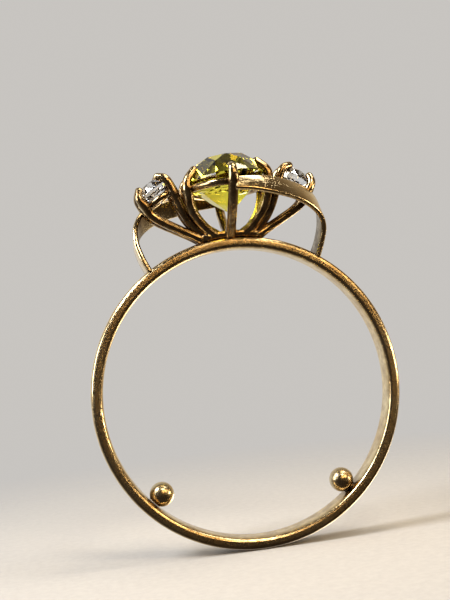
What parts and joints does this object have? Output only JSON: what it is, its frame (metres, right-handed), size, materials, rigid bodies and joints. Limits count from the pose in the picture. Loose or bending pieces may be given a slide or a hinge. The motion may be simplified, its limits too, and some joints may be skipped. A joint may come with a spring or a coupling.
{
  "type": "three-stone engagement ring",
  "caption": "Yellow-gold dress ring with an oval green centre stone between round clear stones in an open wire basket with ribbon shoulders.",
  "frame": {"origin": "centre of the finger hole, halfway across the band's width", "axes": "+Y along the finger, +Z from the hole's centre to the centre stone, +X across the ring"},
  "size_m": [0.0192, 0.008, 0.0242],
  "materials": {
    "gold": "polished",
    "green_stone": "faceted and polished",
    "clear_stone": "faceted and polished"
  },
  "bodies": {
    "root": {"band": "gold", "centre_claw_back": "gold", "centre_claw_front": "gold", "centre_claw_left_back": "gold", "centre_claw_left_front": "gold", "centre_claw_right_back": "gold", "centre_claw_right_front": "gold", "centre_rail": "gold", "centre_stone": "green_stone", "head_base": "gold", "inner_claw_left_back": "gold", "inner_claw_left_front": "gold", "inner_claw_right_back": "gold", "inner_claw_right_front": "gold", "outer_claw_left_back": "gold", "outer_claw_left_front": "gold", "outer_claw_right_back": "gold", "outer_claw_right_front": "gold", "ribbon_left": "gold", "ribbon_right": "gold", "side_rail_left": "gold", "side_rail_right": "gold", "side_stone_left": "clear_stone", "side_stone_right": "clear_stone", "sizing_bead_left": "gold", "sizing_bead_right": "gold"}
  },
  "joints": []
}
